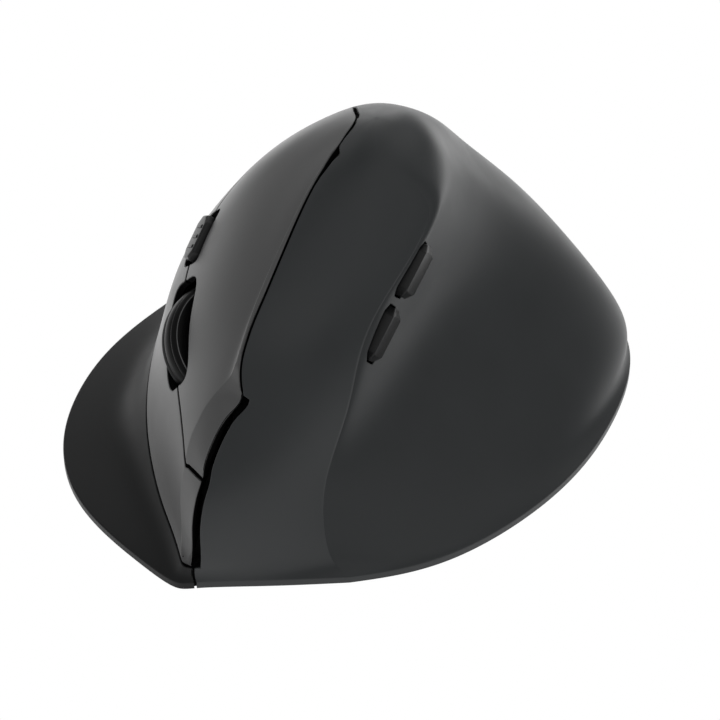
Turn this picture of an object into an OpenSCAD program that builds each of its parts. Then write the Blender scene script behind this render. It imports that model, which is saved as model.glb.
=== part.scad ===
// Wireless vertical mouse for the right hand.
// +X finger side, -X thumb side, +Y front, +Z up, millimetres.
// Origin: centre of the outline on the desk surface.

/* [Shell] */
// wall thickness of the outer shell parts
wall = 2; // [1.6:0.1:2.4]
// seam between neighbouring outer parts
seam = 0.36; // [0.3:0.02:0.5]
// open slot in front of the two main buttons
front_slot = 1.3; // [0.8:0.1:1.6]
// grid steps around the main shell
shell_steps = 54; // [36:6:72]

/* [Scroll wheel] */
// outside diameter of the tyre
wheel_d = 22; // [21:0.5:22]
// width of the wheel
wheel_w = 6; // [5:0.5:6]
// half width of the wheel slot
slot_half = 3.5; // [3.3:0.1:4.4]
// half length of the wheel slot
slot_len = 9.7; // [9:0.1:11]

/* [Small keys] */
// length of one thumb key
thumb_len = 9.6; // [9:0.2:10.4]
// how far a thumb key stands out of the wall
thumb_out = 1.6; // [1.2:0.1:2.4]
// length of the sensitivity key
dpi_len = 8.4; // [7:0.2:9]
// how far the sensitivity key stands out
dpi_out = 1.2; // [1:0.1:2]

/* [Inside] */
// battery cell diameter
cell_d = 14.3; // [13.5:0.1:14.5]
// battery cell length
cell_len = 50; // [48:0.5:50.5]
// thickness of the glide feet
foot_t = 0.7; // [0.5:0.1:0.7]
// circuit board thickness
board_t = 1.6; // [1:0.1:1.6]

/* [Hidden] */

wheel_x = 0.7;              // place of the wheel axis in the wheel frame
wheel_up = -0.4;
thumb_pitch = 11.8;         // between the middles of the two thumb keys
thumb_z = 2.9;              // middle of the thumb keys across their row
desk_z = foot_t;         // underside of the lip and of the base plate
top_plate = 2.5;         // upper face of the base plate

// ---- skin: sections through the body at eight heights and the crown ----
hgt = [2.2, 4.2, 9, 19, 31, 43, 54, 61.5, 64.5];
crown = [-4, -2];
crown_ang = [125, 92, 58, 50, 42, 30, 15, -2, -20, -40, -62, -85, -108, -130, -155, 180, 152];
plan = [
 // crease, strip, seam, corner, then round the finger side, the heel and the thumb side
 [[-14.8,41.8],[-3,46.8],[8,51.2],[12.8,52.6],[21.5,48.9],[36,39.7],[46,24],[48,4],[43.2,-14.5],[33,-34],[14,-49.5],[-9,-52.7],[-30,-46.5],[-43.4,-33],[-46,-12.5],[-41.5,9.5],[-29.5,30.5]],
 [[-12,41.5],[-1.8,46.6],[8.8,51],[12.5,51.2],[18,46.5],[29,36.2],[38,22.5],[41,4],[38.5,-14],[29.5,-33],[13,-47.5],[-8,-52],[-29,-45.8],[-42.5,-32.8],[-44,-13],[-38,10.5],[-26.5,31.5]],
 [[-10.3,41],[-1.2,46.3],[8.9,50.9],[11.6,49.8],[15.8,44.5],[25.3,33],[33.3,20],[36.4,4.5],[34.5,-12],[27.5,-30],[13,-44.5],[-7.5,-50],[-27,-44.5],[-41.5,-33.5],[-42,-15],[-32,9.5],[-19.5,31.5]],
 [[-9.3,37.8],[-0.8,44.3],[9.2,48.3],[11,46.4],[14.5,41.7],[22.5,31],[29.8,18.5],[32.8,5],[31,-11],[25,-27.5],[12,-41],[-7,-46.5],[-24,-41.5],[-35,-32],[-34,-16],[-22.5,6],[-13,27.5]],
 [[-11,31],[-2.8,37.8],[6.5,40.3],[8.6,38.8],[12,36],[19.5,28],[26.3,17],[29.8,4.5],[28.3,-9],[22.5,-24],[10.5,-35],[-6.5,-40],[-18.5,-37],[-25,-29],[-25,-17],[-16.5,2],[-12,21.5]],
 [[-12.3,22],[-4.2,28.5],[5.2,31.5],[6.6,30.3],[9,28],[14.5,22.5],[20,14],[23.3,4],[21.8,-7.5],[16.5,-18.5],[7.5,-27],[-5.5,-31],[-13,-28],[-17,-21.5],[-18.6,-14],[-16.7,0],[-14,13.5]],
 [[-16.3,7],[-8.5,14],[2.6,17.2],[4.2,16.6],[6,15.5],[9.5,12],[12.6,7],[14.5,1],[13.2,-6],[9.5,-12.5],[4,-17.5],[-4.5,-20],[-10,-18.8],[-12.8,-14.3],[-15,-9.2],[-16.3,-3.5],[-17,2]],
 [for (a = crown_ang) [crown[0] + 8*cos(a), crown[1] + (a > 0 ? 10 : 9)*sin(a)]],
 [for (a = crown_ang) crown]];
// 0: a sharp crease runs through column 0, 1: the section is smooth there
ease = [0, 0, 0, 0, 0, 0.15, 0.8, 1, 1];
move = [-1.05, 0.15, 0];
nc = 17;
nr = 9;

// spline weights that make the surface pass through every section point
wk = [for (k = [-9:9]) sqrt(3)*pow(-0.2679492, abs(k))];
function m3(n) = ((n % nc) + nc) % nc;
S = [for (j = [0:nr-1]) [for (i = [0:nc-1]) [plan[j][i][0] + move[0], plan[j][i][1] + move[1], hgt[j]]]];
function around(s, i) = wk*[for (k = [-9:9]) s[m3(i+k)]];
function end_open(s, i) = i < 0 ? 2*s[0] - s[-i] : i > nc ? 2*s[0] - s[2*nc-i] : s[m3(i)];
function across(s, i) = wk*[for (k = [-9:9]) end_open(s, i+k)];
C = [for (j = [0:nr-1]) [for (i = [-1:nc+1]) ease[j]*around(S[j], i) + (1-ease[j])*across(S[j], i)]];
function end_row(i, j) = j < 0 ? 2*C[0][i] - C[-j][i]
  : j > nr-1 ? let (b = C[2*(nr-1)-j][i], o = 2*C[nr-1][i] - b) [o[0], o[1], b[2]] : C[j][i];
D = [for (j = [-1:nr]) [for (i = [0:nc+2]) [for (k = [-7:7]) wk[k+9]]*[for (k = [-7:7]) end_row(i, j+k)]]];
function bas(t) = [pow(1-t,3), 3*t*t*t-6*t*t+4, -3*t*t*t+3*t*t+3*t+1, t*t*t]/6;
function dba(t) = [-(1-t)*(1-t), 3*t*t-4*t, -3*t*t+2*t+1, t*t]/2;
function wrap(u) = u - nc*floor(u/nc);
function mix4(bu, bv, iu, iv) = bv*[for (a = [0:3]) bu*[for (b = [0:3]) D[iv+a][iu+b]]];
function P(u, v) = let (w = wrap(u), i = min(floor(w), nc-1), j = max(0, min(floor(v), nr-2)))
  mix4(bas(w-i), bas(v-j), i, j);
function dir1(u, v) = let (w = wrap(u), i = min(floor(w), nc-1), j = max(0, min(floor(v), nr-2)),
  a = mix4(dba(w-i), bas(v-j), i, j), b = mix4(bas(w-i), dba(v-j), i, j), c = cross(b, a)) c/norm(c);
// outward direction; averaged over the crease, vertical at the crown
function nrm(u, v) = v > 7.9 ? [0.1, 0.1, 0.99] :
  let (w = wrap(u)) (w < 0.02 || w > nc-0.02) && v < 6
    ? let (c = dir1(0.03, v) + dir1(nc-0.03, v)) c/norm(c) : dir1(u, v);

// ---- seams, written as column against row ----
function slope(t, i) = i == 0 ? (t[1][1]-t[0][1])/(t[1][0]-t[0][0])
  : i == len(t)-1 ? (t[i][1]-t[i-1][1])/(t[i][0]-t[i-1][0])
  : let (a = t[i][0]-t[i-1][0], b = t[i+1][0]-t[i][0])
    ((t[i][1]-t[i-1][1])/a*b + (t[i+1][1]-t[i][1])/b*a)/(a+b);
function seg(t, x) = let (f = [for (i = [0:len(t)-2]) if (x >= t[i][0]) i]) len(f) == 0 ? 0 : max(f);
function spl(t, x) = let (i = seg(t, x), h = t[i+1][0]-t[i][0], q = max(0, min(1, (x-t[i][0])/h)),
  a = q*q*q, b = q*q) (2*a-3*b+1)*t[i][1] + (a-2*b+q)*h*slope(t, i) + (3*b-2*a)*t[i+1][1] + (a-b)*h*slope(t, i+1);
strip_t = [[0,2.2],[1.25,2.14],[2.4,2.08],[2.9,2.03],[3.2,2.03],[3.4,2.14],[3.6,2.18],[3.9,2.08],[4.2,1.82],[4.3,1.89],[4.4,1.98],[4.65,2.15],[4.9,2.17],[5.35,2.12],[5.7,2.16],[6,2.22],[6.35,2.28],[6.7,2.3]];
skirt_t = [[2,1.25],[3,1.42],[3.9,1.66],[4.4,1.8],[5.2,2.18],[5.7,2.45],[6.3,2.8],[7,3.25],[8,3.9],[9.3,4.7]];
split_t = [[2,3.2],[2.8,3.13],[3.55,3.06],[3.97,3.03],[4.27,3.21],[4.53,3.37],[4.88,3.57],[5.4,3.92],[5.88,4.3],[6.25,4.5],[6.85,5],[7.22,5.35],[7.8,5.75],[8.4,6],[9.3,6.2]];
lid0 = 6.7; lid1 = 7.56; lid_u = 6.2; rear_u = 9.2;
function lid(v) = let (s = max(0, min(1, (v-lid0)/(lid1-lid0)))) sqrt(max(0, 1-s*s));
function uQ(v) = v < lid0 ? spl(strip_t, v) : lid_u - (lid_u-2.3)*lid(v);
function uR(v) = lid_u + (rear_u-lid_u)*lid(v);
// flat facet between the buttons' front edge and this crease
facet_t = [[1.2,2.3],[1.6,3.1],[2.1,3.5],[2.4,3.78],[2.8,3.93],[3.1,4],[3.4,4.03],[3.6,3.98],[3.86,3.88],[4.14,3.58],[4.4,3],[4.65,2.3],[5,2]];
function PB(u, v) = v < 1.21 || v > 4.9 ? P(u, v) : let (a = spl(strip_t, v), c = spl(facet_t, v))
  u < a || u > c || c < a + 0.1 ? P(u, v) : let (A = P(a, v) - 0.6*min(1, (c-a)/1.2)*max(0, min(1, (v-1.6)/0.5))*dir1(a, v)) A + (P(c, v) - A)*(u-a)/(c-a);
// distance in column or row units for a gap of g millimetres
gu = seam/11;
gv = seam/12;
function per_mm(u, v, d) = 0.1/norm(P(u + d, v) - P(u, v));
function reach(u, v, g, d) = d*g/norm(P(u - d, v) - P(u, v));
function slot_u(v) = let (u = uQ(v), g = v > 1.25 && v < 4.23 ? front_slot : seam*(1 + 0.6*max(0, min(1, (v-6.5)/0.3, (7.6-v)/0.3)))) reach(u, v, g, reach(u, v, g, reach(u, v, g, 0.1)));
// front edge of the two main buttons, a little behind the seam line where the open slot runs
function uB(v) = uQ(v) + 0.6*max(0, min(1, (v-1.3)/0.12, (4.28-v)/0.1))*per_mm(uQ(v), v, 0.1);
function rear_gap(v) = seam*per_mm(uR(v), v, 0.1);
function half_gap(u, v) = seam*0.065/norm(P(u, v+0.05)-P(u, v-0.05));
// how far the buttons' upper edge is set back under the crown
function set_back(v) = 1.7*gv*max(0, min(1, (v-6.85)/0.35));

// ---- building a wall from an outer and an inner grid ----
// g[i][j]; joined above row jc, closed to one point at the last row when tip
function wid(g) = len(g);
function vid(i, j, n, m, jc, tip) = let (ii = (i == n && j >= jc) || (tip && j == m) ? 0 : i) ii*(m+1) + j;
function face(o, n, m, jc, tip, a, b, flip) = let (
  q = [vid(a, b, n, m, jc, tip), vid(a+1, b, n, m, jc, tip), vid(a+1, b+1, n, m, jc, tip), vid(a, b+1, n, m, jc, tip)],
  r = [for (k = q) k + o], f = flip ? [r[3], r[2], r[1], r[0]] : r)
  (tip && b == m-1) ? (flip ? [[r[2], r[1], r[0]]] : [[r[0], r[1], r[2]]])
  : [[f[0], f[1], f[2]], [f[0], f[2], f[3]]];
module skin(outer, inner, jc = 9999, tip = false, turn = false) {
  n = len(outer)-1; m = len(outer[0])-1; o = (n+1)*(m+1);
  pts = concat([for (i = [0:n]) for (j = [0:m]) outer[i][j]], [for (i = [0:n]) for (j = [0:m]) inner[i][j]]);
  sheets = [for (a = [0:n-1]) for (b = [0:m-1]) for (f = concat(
    face(0, n, m, jc, tip, a, b, false), face(o, n, m, jc, tip, a, b, true))) f];
  low = [for (a = [0:n-1]) let (p = vid(a,0,n,m,jc,tip), q = vid(a+1,0,n,m,jc,tip))
    for (f = [[p, p+o, q+o], [p, q+o, q]]) f];
  high = tip ? [] : [for (a = [0:n-1]) let (p = vid(a,m,n,m,jc,tip), q = vid(a+1,m,n,m,jc,tip))
    for (f = [[p, q+o, p+o], [p, q, q+o]]) f];
  e = min(m, jc)-1;
  side = [for (b = [0:e]) for (f = let (p = vid(0,b,n,m,jc,tip), q = vid(0,b+1,n,m,jc,tip),
      s = vid(n,b,n,m,jc,tip), t = vid(n,b+1,n,m,jc,tip))
    [[p, q, q+o], [p, q+o, p+o], [s, t+o, t], [s, s+o, t+o]]) f];
  all_f = concat(sheets, low, high, side);
  polyhedron(points = pts, faces = turn ? [for (f = all_f) [f[2], f[1], f[0]]] : all_f, convexity = 10);
}
function inn(u, v, w = wall) = P(u, v) - w*nrm(u, v);
// inner face beside the sharp front corner: set in straight from the seam, so it does not fold
function inn_corner(u, v) = let (k = max(0, min(1, (u-2.8)/1.5)), d = mixv(nrm(min(u, 1.95), v), nrm(u, v), k*k*(3-2*k)))
  v > 6.6 ? inn(u, v) : PB(u, v) - 1.6*d/norm(d);
// inner face under the crease: turned only gradually, for the same reason
function inn_main(u, v) = v > 6.2 ? inn(u, v) : let (k = min(1, abs(u)/0.7), d = mixv(nrm(0, v), nrm(u, v), k*k*(3-2*k)))
  P(u, v) - wall*d/norm(d);
// inner face: below row 1 the wall stands straight on the base plate rim
function inn_low(u, v, f) = let (p = inn(u, max(1, v))) f < 0 ? p : [p[0], p[1], desk_z + (p[2]-desk_z)*f];
function mixv(a, b, t) = a + (b-a)*t;

// ---- local frames ----
module wheel_frame() { translate([15, 20, 26.5]) rotate([0, 43, 149]) rotate([0, 0, 147]) children(); }
module dpi_frame() { translate([23.2, 9.5, 39.8]) rotate([0, 55, 134]) rotate([0, 0, 139]) children(); }
module thumb_frame() { translate([-14.5, 17.45, 43.35]) rotate([0, 141, 268]) rotate([0, 0, 192]) rotate([0, 4, 0]) children(); }
module as_mesh() { resize([0, 0, 0]) children(); }

// ---- outer parts ----
rows = [0, 0, 0.5, 1, 1.24, 1.26, 1.8, 2.4, 3, 3.4, 3.8, 4.1, 4.22, 4.24, 4.3, 4.36, 4.45, 4.6, 4.8, 5, 5.25, 5.5, 5.75, 6, 6.35, 6.7, 6.86, 7, 7.13, 7.24, 7.33, 7.4, 7.46, 7.5, 7.53, 7.55, 7.56, 7.7, 7.85, 8];
last = len(rows)-1;
main_join = 36;
function main_u(s, v) = let (a = v < lid1 ? uQ(v) - slot_u(v) : lid_u, b = v < lid1 ? uR(v) + rear_gap(v) - nc : lid_u - nc, c = round(shell_steps/6)/shell_steps)
  s < c ? mixv(a, 0, s/c) : mixv(0, b, (s-c)/(1-c));
module main_shell() {
  n = shell_steps;
  color("#34373a") as_mesh() difference() {
    skin([for (i = [0:n]) [for (j = [0:last]) let (v = rows[j], u = main_u(i/n, v), p = P(u, v))
        j == 0 ? [p[0], p[1], desk_z] : p]],
      [for (i = [0:n]) [for (j = [0:last]) let (v = rows[j], u = main_u(i/n, v))
        j < 3 ? inn_low(main_u(i/n, 1), 1, j/3) : j == 3 ? inn_low(u, 1, -1) : inn_main(u, v)]],
      jc = main_join, tip = true, turn = true);
    thumb_frame() for (s = [-1, 1]) translate([s*thumb_pitch/2, -6, thumb_z]) rotate([-90, 0, 0])
      key_outline(thumb_len+0.7, 5.5, 12);
  }
}
module side_skirt() {
  n = 26; m = 6;
  function su(i, v) = mixv(uQ(v), rear_u, pow(i/n, 1.2));
  function top(i) = spl(skirt_t, mixv(2.1, rear_u, pow(i/n, 1.2))) - half_gap(mixv(2.1, rear_u, pow(i/n, 1.2)), 1.5 + 3*i/n);
  color("#2c2e30") skin(
    [for (i = [0:n]) concat([let (p = P(su(i, 0), 0)) [p[0], p[1], desk_z]],
      [for (j = [0:m]) let (v = top(i)*j/m) P(su(i, v), v)])],
    [for (i = [0:n]) [for (j = [0:m+1]) let (v = j == 0 ? 1 : mixv(1, top(i), (j-1)/m), u = su(i, v))
      j == 0 ? inn_low(u, 1, 0) : inn(u, v, 1.8)]]);
}
// half width of the opening between the two main buttons, in rows
function hole(u) = let (a = (u-5.455)/(slot_len/16.3), b = (u-6.58)/0.32)
  max(u < 4 ? gv : gv*0.6, abs(a) < 1 ? slot_half/10.4*pow(1-pow(abs(a), 4), 0.25) : 0,
      abs(b) < 1 ? 0.2*pow(1-pow(abs(b), 8), 0.3) : 0);
split_us = [2.12, 2.3, 2.5, 2.75, 3, 3.25, 3.5, 3.75, 3.97, 4.2, 4.4, 4.6, 4.78, 4.858, 4.863, 4.877, 4.92, 5, 5.12, 5.28, 5.445, 5.6, 5.76, 5.89, 5.99, 6.033, 6.046, 6.052,
  6.1, 6.2, 6.258, 6.266, 6.3, 6.4, 6.49, 6.58, 6.67, 6.76, 6.85, 6.894, 6.902, 7, 7.15, 7.3, 7.5, 7.7, 7.9, 8.1, 8.3, 8.45, 8.6, 8.75, 8.9, 9.05, 9.18];
steps_t = [for (x = split_us) (x-2.12)/7.06];
function lean(u) = 0.62 + 0.2*max(0, min(1, (u-6.05)/0.21));
// height above or below the split up to which the grid lines run with the slot ends
function band(u, h) = max(h, 0.42*max(0, min(1, (u-2.5)/1.5, (9.18-u)/0.9)));
function split_u(t) = mixv(2.12, rear_u-0.02, t);
function rim(t) = t < 0.86 ? let (v = mixv(3.36, lid1-0.001, 1-pow(1-t/0.86, 1.25))) [uB(v), v - set_back(v)]
  : let (v = mixv(lid1-0.001, 6.24, (t-0.86)/0.14)) [uR(v)-0.02, v - set_back(v)];
function prim(t, s) = let (u = split_u(t), h = hole(u), g = band(u, h), y = spl(split_t, u), m = [u - lean(u)*g, y + g])
  s < 0.25 ? mixv([u - lean(u)*h, y + h], m, s*4) : mixv(m, rim(t), (s-0.25)/0.75);
function sec(t, s) = let (u = split_u(t), h = u > 4.8 && u < 6.1 ? max(0.6*gv, hole(u)*0.91) : hole(u), g = band(u, h), y = spl(split_t, u),
    lo = spl(skirt_t, u) + half_gap(u, spl(skirt_t, u)) + 0.02*pow(1-t, 6), a = s < 0.75 ? mixv([u, lo, 1-t], [u + lean(u)*g, y - g, max(0, 1-8*t)], s/0.75)
    : mixv([u + lean(u)*g, y - g, max(0, 1-8*t)], [u + lean(u)*h, y - h, max(0, 1-8*t)], s*4-3))
  [a[0] + a[2]*(uQ(a[1])-2.12) + max(0, 1-8*t)*(uB(a[1])-uQ(a[1])), a[1]];
module primary_button() {
  color("#5c5d5d") as_mesh() union() {
    skin([for (t = steps_t) [for (s = [0:8]) let (q = prim(t, s/8)) PB(q[0], q[1])]],
      [for (t = steps_t) [for (s = [0:8]) let (q = prim(t, s*0.985/8)) inn_corner(q[0], q[1])]]);
    wheel_frame() translate([-9.8, 1.75, 9.5]) rotate([-90, 0, 0]) cylinder(h = 4.2, d = 3, $fn = 24);
  }
}
module secondary_button() {
  color("#6b6d6e") as_mesh() union() {
    skin([for (t = steps_t) [for (s = [0:8]) let (q = sec(t, s/8)) PB(q[0], q[1])]],
      [for (t = steps_t) [for (s = [0:8]) let (q = sec(t, s/8)) inn_corner(q[0], q[1])]]);
    wheel_frame() translate([-9.8, 1.75, -8.9]) rotate([-90, 0, 0]) cylinder(h = 4.6, d = 3, $fn = 24);
  }
}

// ---- base ----
function rim_u() = [for (k = [0:67]) k*nc/68];
plate_pts = [for (u = rim_u()) let (a = u > 2.1 && u < rear_u ? 1.8 : wall, p = P(u, 1), q = nrm(u, 1),
   i = p - a*q, h = norm([q[0], q[1]]), k = (u > 2.1 && u < rear_u ? 0.3 : 0.15)/h) [i[0]-q[0]*k, i[1]-q[1]*k]];
posts = [[-1, 31, 18.8], [7, 3, 39.5], [17.5, -3, 27], [7.3, 24.6, 7.5]];
module base_plate() {
  color("#232527") difference() {
    translate([0, 0, desk_z]) linear_extrude(top_plate-desk_z) polygon(plate_pts);
    // battery opening with a ledge for the sliding door
    translate([-22, -40, 0]) cube([16, 55, 5]);
    translate([-24, -46, -1]) cube([20, 63, 2.95]);
    // receiver, sensor and switch openings
    translate([-0.2, -41.2, 0]) cube([13, 19.4, 5]);
    translate([16, 9, 0]) cylinder(h = 5, d = 9.4);
    translate([16.8, -26.1, 0]) cube([6.4, 2.2, 5]);
    translate([15.5, -27.5, 0]) cube([9, 5, 1.3]);
    for (p = posts) translate([p[0], p[1], 0]) { cylinder(h = 5, d = 2.3); translate([0, 0, -0.1]) cylinder(h = 1.96, d = 4.4); }
  }
}
module battery_door() {
  color("#26282a") {
    translate([-23.7, -41.6, desk_z]) cube([19.4, 58.3, 1.1]);
    translate([-21, -35.4, 1.7]) difference() { cube([14, 48, 0.6]); translate([1, 1, -1]) cube([12, 46, 2]); }
    for (k = [0:3]) translate([-18, 3+2.2*k, 0.5]) cube([8, 0.9, 0.3]);
  }
}
module glide_feet() {
  color("#8d9092") for (f = [[1, 37.5, 20, 9], [33, 3, 92, 12], [-31.5, -24, 78, 12], [18.5, -35, 35, 8]])
    translate([f[0], f[1], 0]) rotate([0, 0, f[2]]) hull() for (s = [-1, 1]) translate([s*f[3]/2, 0, 0]) cylinder(h = foot_t, d = 5, $fn = 32);
}
module case_screws() {
  color("#9a9da0") for (p = posts) translate([p[0], p[1], 0.95]) difference() {
    union() { cylinder(h = 0.9, d = 4); cylinder(h = 6, d = 1.9); }
    translate([0, 0, -0.1]) for (a = [0, 90]) rotate([0, 0, a]) translate([-1.1, -0.25, 0]) cube([2.2, 0.5, 0.5]);
  }
}

// ---- chassis, boards and switches ----
deck_y = -9.6;
module deck(y0, h) { translate([-18, y0, -11]) difference() { cube([40, h, 24]); translate([2, -1, 4.2]) cube([29.2, h+2, 13.6]); } }
module chassis() {
  color("#1d1f20") difference() {
    union() {
      wheel_frame() { deck(deck_y, 1.6);
        for (p = [[-16.6, -9.4], [20, -9.4], [-16.6, 11.4], [20, 11.4]]) translate([p[0], -8.1, p[1]]) rotate([-90, 0, 0]) cylinder(h = 1.1, d = 2.4);
        // ears that carry the wheel rocker
        for (s = [-1, 1]) translate([-17.6, -8.1, s*6-0.6]) cube([3.8, 5.4, 1.2]);
      }
      for (p = posts) translate([p[0], p[1], top_plate]) cylinder(h = p[2]-top_plate, d = 5.4);
      // webs tying the posts together
      hull() for (p = [posts[0], posts[3]]) translate([p[0], p[1], 3]) cylinder(h = 3, d = 1.8, $fn = 16);
      hull() for (p = [posts[1], posts[2]]) translate([p[0], p[1], 16]) cylinder(h = 9, d = 1.8, $fn = 16);
    }
    for (p = posts) translate([p[0], p[1], top_plate-0.1]) cylinder(h = 5.2, d = 2);
    wheel_frame() translate([-15.6, -4.6, -8]) cylinder(h = 16, d = 2.04);
  }
}
module button_board() {
  color("#1d5a3a") wheel_frame() difference() {
    deck(-7, board_t);
    translate([-16.9, -8, -7]) cube([4, 4, 14]);
    for (s = [-1, 1]) translate([-18.3, -8, s*5.1-1.9]) cube([4.6, 4, 3.8]);
  }
}
module tact(w, h, nub) { color("#2b2b2b") translate([-w/2, 0, -w/2]) cube([w, h, w]); color("#b9b9b2") translate([0, h, 0]) rotate([-90, 0, 0]) cylinder(h = nub, d = w*0.5); }
module micro_switch(w) {
  color("#202224") translate([-6.4, 0, -w/2]) cube([12.8, 5.9, w]);
  color("#d8d8d0") translate([-1.5, 5.9, -1]) cube([3, 0.5, 2]);
}
module main_switches() { wheel_frame() for (z = [9.8, -8.9]) translate([-9.8, -5.4, z]) micro_switch(z > 0 ? 5.8 : 4.2); }
module middle_switch() { wheel_frame() translate([15.4, -5.4, -3.7]) tact(4, 1.8, 0.4); }
module dpi_switch() { wheel_frame() translate([17.6, -5.4, 1.4]) tact(5, 2, 0.5); }

module wheel_hub() {
  color("#1a1d1f") wheel_frame() translate([wheel_x, wheel_up, 0]) difference() {
    translate([0, 0, -wheel_w/2]) cylinder(h = wheel_w, r = wheel_d/2-2.2, $fn = 96);
    translate([0, 0, -10]) cylinder(h = 20, d = 2.2);
    for (s = [0, 1]) mirror([0, 0, s]) translate([0, 0, wheel_w/2-0.8]) difference() { cylinder(h = 2, r = 7.6); translate([0, 0, -1]) cylinder(h = 4, r = 3); }
  }
}
module wheel_tyre() {
  r = wheel_d/2; h = wheel_w/2;
  color("#26282a") wheel_frame() translate([wheel_x, wheel_up, 0]) rotate_extrude($fn = 96)
    polygon([[r-2.2, -h], [r-1.2, -h], [r-0.4, -h*0.72], [r, -h*0.36], [r, h*0.36], [r-0.4, h*0.72], [r-1.2, h], [r-2.2, h]]);
}
module wheel_axle() { color("#a4a7a9") wheel_frame() translate([wheel_x, wheel_up, -5.9]) cylinder(h = 11.8, d = 2.2); }
module wheel_carrier() {
  color("#3a3d40") wheel_frame() difference() {
    union() {
      for (s = [-1, 1]) translate([0, 0, s*4.35-0.8]) {
        translate([-14.5, -2.6, 0]) cube([30.6, 4, 1.6]);
        translate([wheel_x, wheel_up, 0]) cylinder(h = 1.6, d = 6.4);
        translate([-17.2, -5.8, 0]) cube([4, 5.8, 1.6]);
      }
      translate([14.9, -2.6, -4.35]) cube([1.2, 2.4, 8.7]);
      translate([-15.6, -4.6, -6.55]) cylinder(h = 13.1, d = 1.96);
    }
    translate([wheel_x, wheel_up, -10]) cylinder(h = 20, d = 2.3);
  }
}
module wheel_encoder() {
  color("#2b2f52") wheel_frame() difference() { translate([wheel_x-3, -5.4, 6.2]) cube([6, 9.2, 2.4]); translate([wheel_x, wheel_up, 4]) cylinder(h = 6, d = 2.8); }
}

// cap with pointed ends: length, width, height
module key_outline(l, w, h) { linear_extrude(h) polygon([[-l/2, -w/2+1.2], [-l/2+1.4, -w/2], [l/2-1.4, -w/2], [l/2, -w/2+1.2], [l/2, w/2-1.2], [l/2-1.4, w/2], [-l/2+1.4, w/2], [-l/2, w/2-1.2]]); }
module dpi_button() {
  color("#3c3e40") {
    dpi_frame() translate([0.45, 0, 0.1]) difference() {
      translate([0, -3.2, 0]) rotate([-90, 0, 0]) key_outline(dpi_len, 4.8, 3.2+dpi_out);
      for (k = [-1, 0, 1]) translate([k*2-0.25, dpi_out-0.3, -1.5]) cube([0.5, 1, 3]);
    }
    wheel_frame() translate([17.6, -2.3, 1.4]) rotate([-90, 0, 0]) cylinder(h = 6.6, d = 2);
  }
}
module thumb_key(s) {
  color("#242627") thumb_frame() translate([s*thumb_pitch/2, 0, thumb_z]) {
    difference() {
      translate([0, -3.2, 0]) rotate([-90, 0, 0]) key_outline(thumb_len, 4.8, 3.2+thumb_out);
      for (e = [-1, 1]) translate([e*thumb_len/2, thumb_out, 0]) rotate([0, 0, e*30]) translate([-0.7, -0.3, -5]) cube([1.4, 2, 10]);
    }
    translate([0, -3.9, 0]) rotate([-90, 0, 0]) cylinder(h = 2, d = 2.6);
  }
}
module thumb_forward_button() { thumb_key(-1); }
module thumb_back_button() { thumb_key(1); }
module thumb_switches() { thumb_frame() for (s = [-1, 1]) translate([s*thumb_pitch/2, -8.4, thumb_z]) tact(4.6, 3.2, 0.7); }
module thumb_board() { color("#1d5a3a") thumb_frame() translate([-11.5, -10, thumb_z-3]) cube([23, board_t, 6]); }
module thumb_bracket() {
  color("#1d1f20") thumb_frame() {
    translate([-13.6, -11.4, thumb_z-3]) cube([27.2, 1.4, 6]);
    for (s = [-1, 1]) translate([s*12.6-1, -11.4, thumb_z-3]) cube([2, 8.4, 6]);
  }
}
module main_board() {
  color("#1d5a3a") difference() {
    translate([0, 0, 5.2]) linear_extrude(board_t) polygon([[-3.5, -20], [25, -20], [30, -10], [31, 14], [-3.5, 14]]);
    for (p = [posts[1], posts[2]]) translate([p[0], p[1], 0]) cylinder(h = 20, d = 6.2);
    translate([16, 9, 0]) cylinder(h = 20, d = 6);
  }
}
module radio_chip() {
  color("#17181a") { translate([-1, -16, 6.8]) cube([7, 7, 1]); translate([12, -17, 6.8]) cube([4, 4, 0.9]); }
  for (k = [0:5]) color("#b8bcc0") { translate([-0.4+k, -16.7, 6.8]) cube([0.5, 0.8, 0.3]); translate([-0.4+k, -9.1, 6.8]) cube([0.5, 0.8, 0.3]); }
}
module optical_sensor() {
  color("#141516") difference() { translate([10.8, 4.6, 6.8]) cube([10.4, 9, 2.6]); translate([16, 9, 6]) cylinder(h = 1.6, d = 2); }
}
module sensor_lens() {
  color("#c9d6dc") translate([16, 9, 0]) rotate_extrude() polygon([[0, 1.2], [4.5, 1.2], [4.5, 2.4], [2.8, 3.6], [2.8, 6.6], [0, 6.6]]);
}
module board_cable() {
  color("#d9d7cc") translate([24, 8.2, 0]) rotate([90, 0, 0]) linear_extrude(6)
    polygon([[0, 6.8], [4, 6.8], [4, 7], [1, 7.2], [-2, 13], [-4.4, 22], [-4.6, 22], [-2.3, 13], [0, 7.1]]);
}

// ---- power ----
module battery_tray() {
  color("#1d1f20") difference() {
    translate([-22.9, -42.2, top_plate]) cube([17.8, 58, 7.5]);
    translate([-21.4, -41, 0]) cube([14.8, 55.6, 20]);
  }
}
module battery_cell() {
  color("#3d6a8c") translate([-14, 13.4-1.2, 9.9]) rotate([90, 0, 0]) cylinder(h = cell_len-1.2, d = cell_d);
  color("#b9bcbe") translate([-14, 13.4, 9.9]) rotate([90, 0, 0]) cylinder(h = 1.3, d = 5.2);
}
module battery_spring() {
  color("#c2c4c2") {
    translate([-14, -37, 9.9]) rotate([90, 0, 0]) linear_extrude(3, twist = 1080, slices = 48) translate([3, 0]) circle(d = 0.9, $fn = 8);
    translate([-18.5, -40.9, 4]) cube([9, 0.5, 10.5]);
  }
}
module battery_contact() { color("#c2c4c2") translate([-18.5, 13.5, 4]) cube([9, 0.5, 10.5]); }
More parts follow.
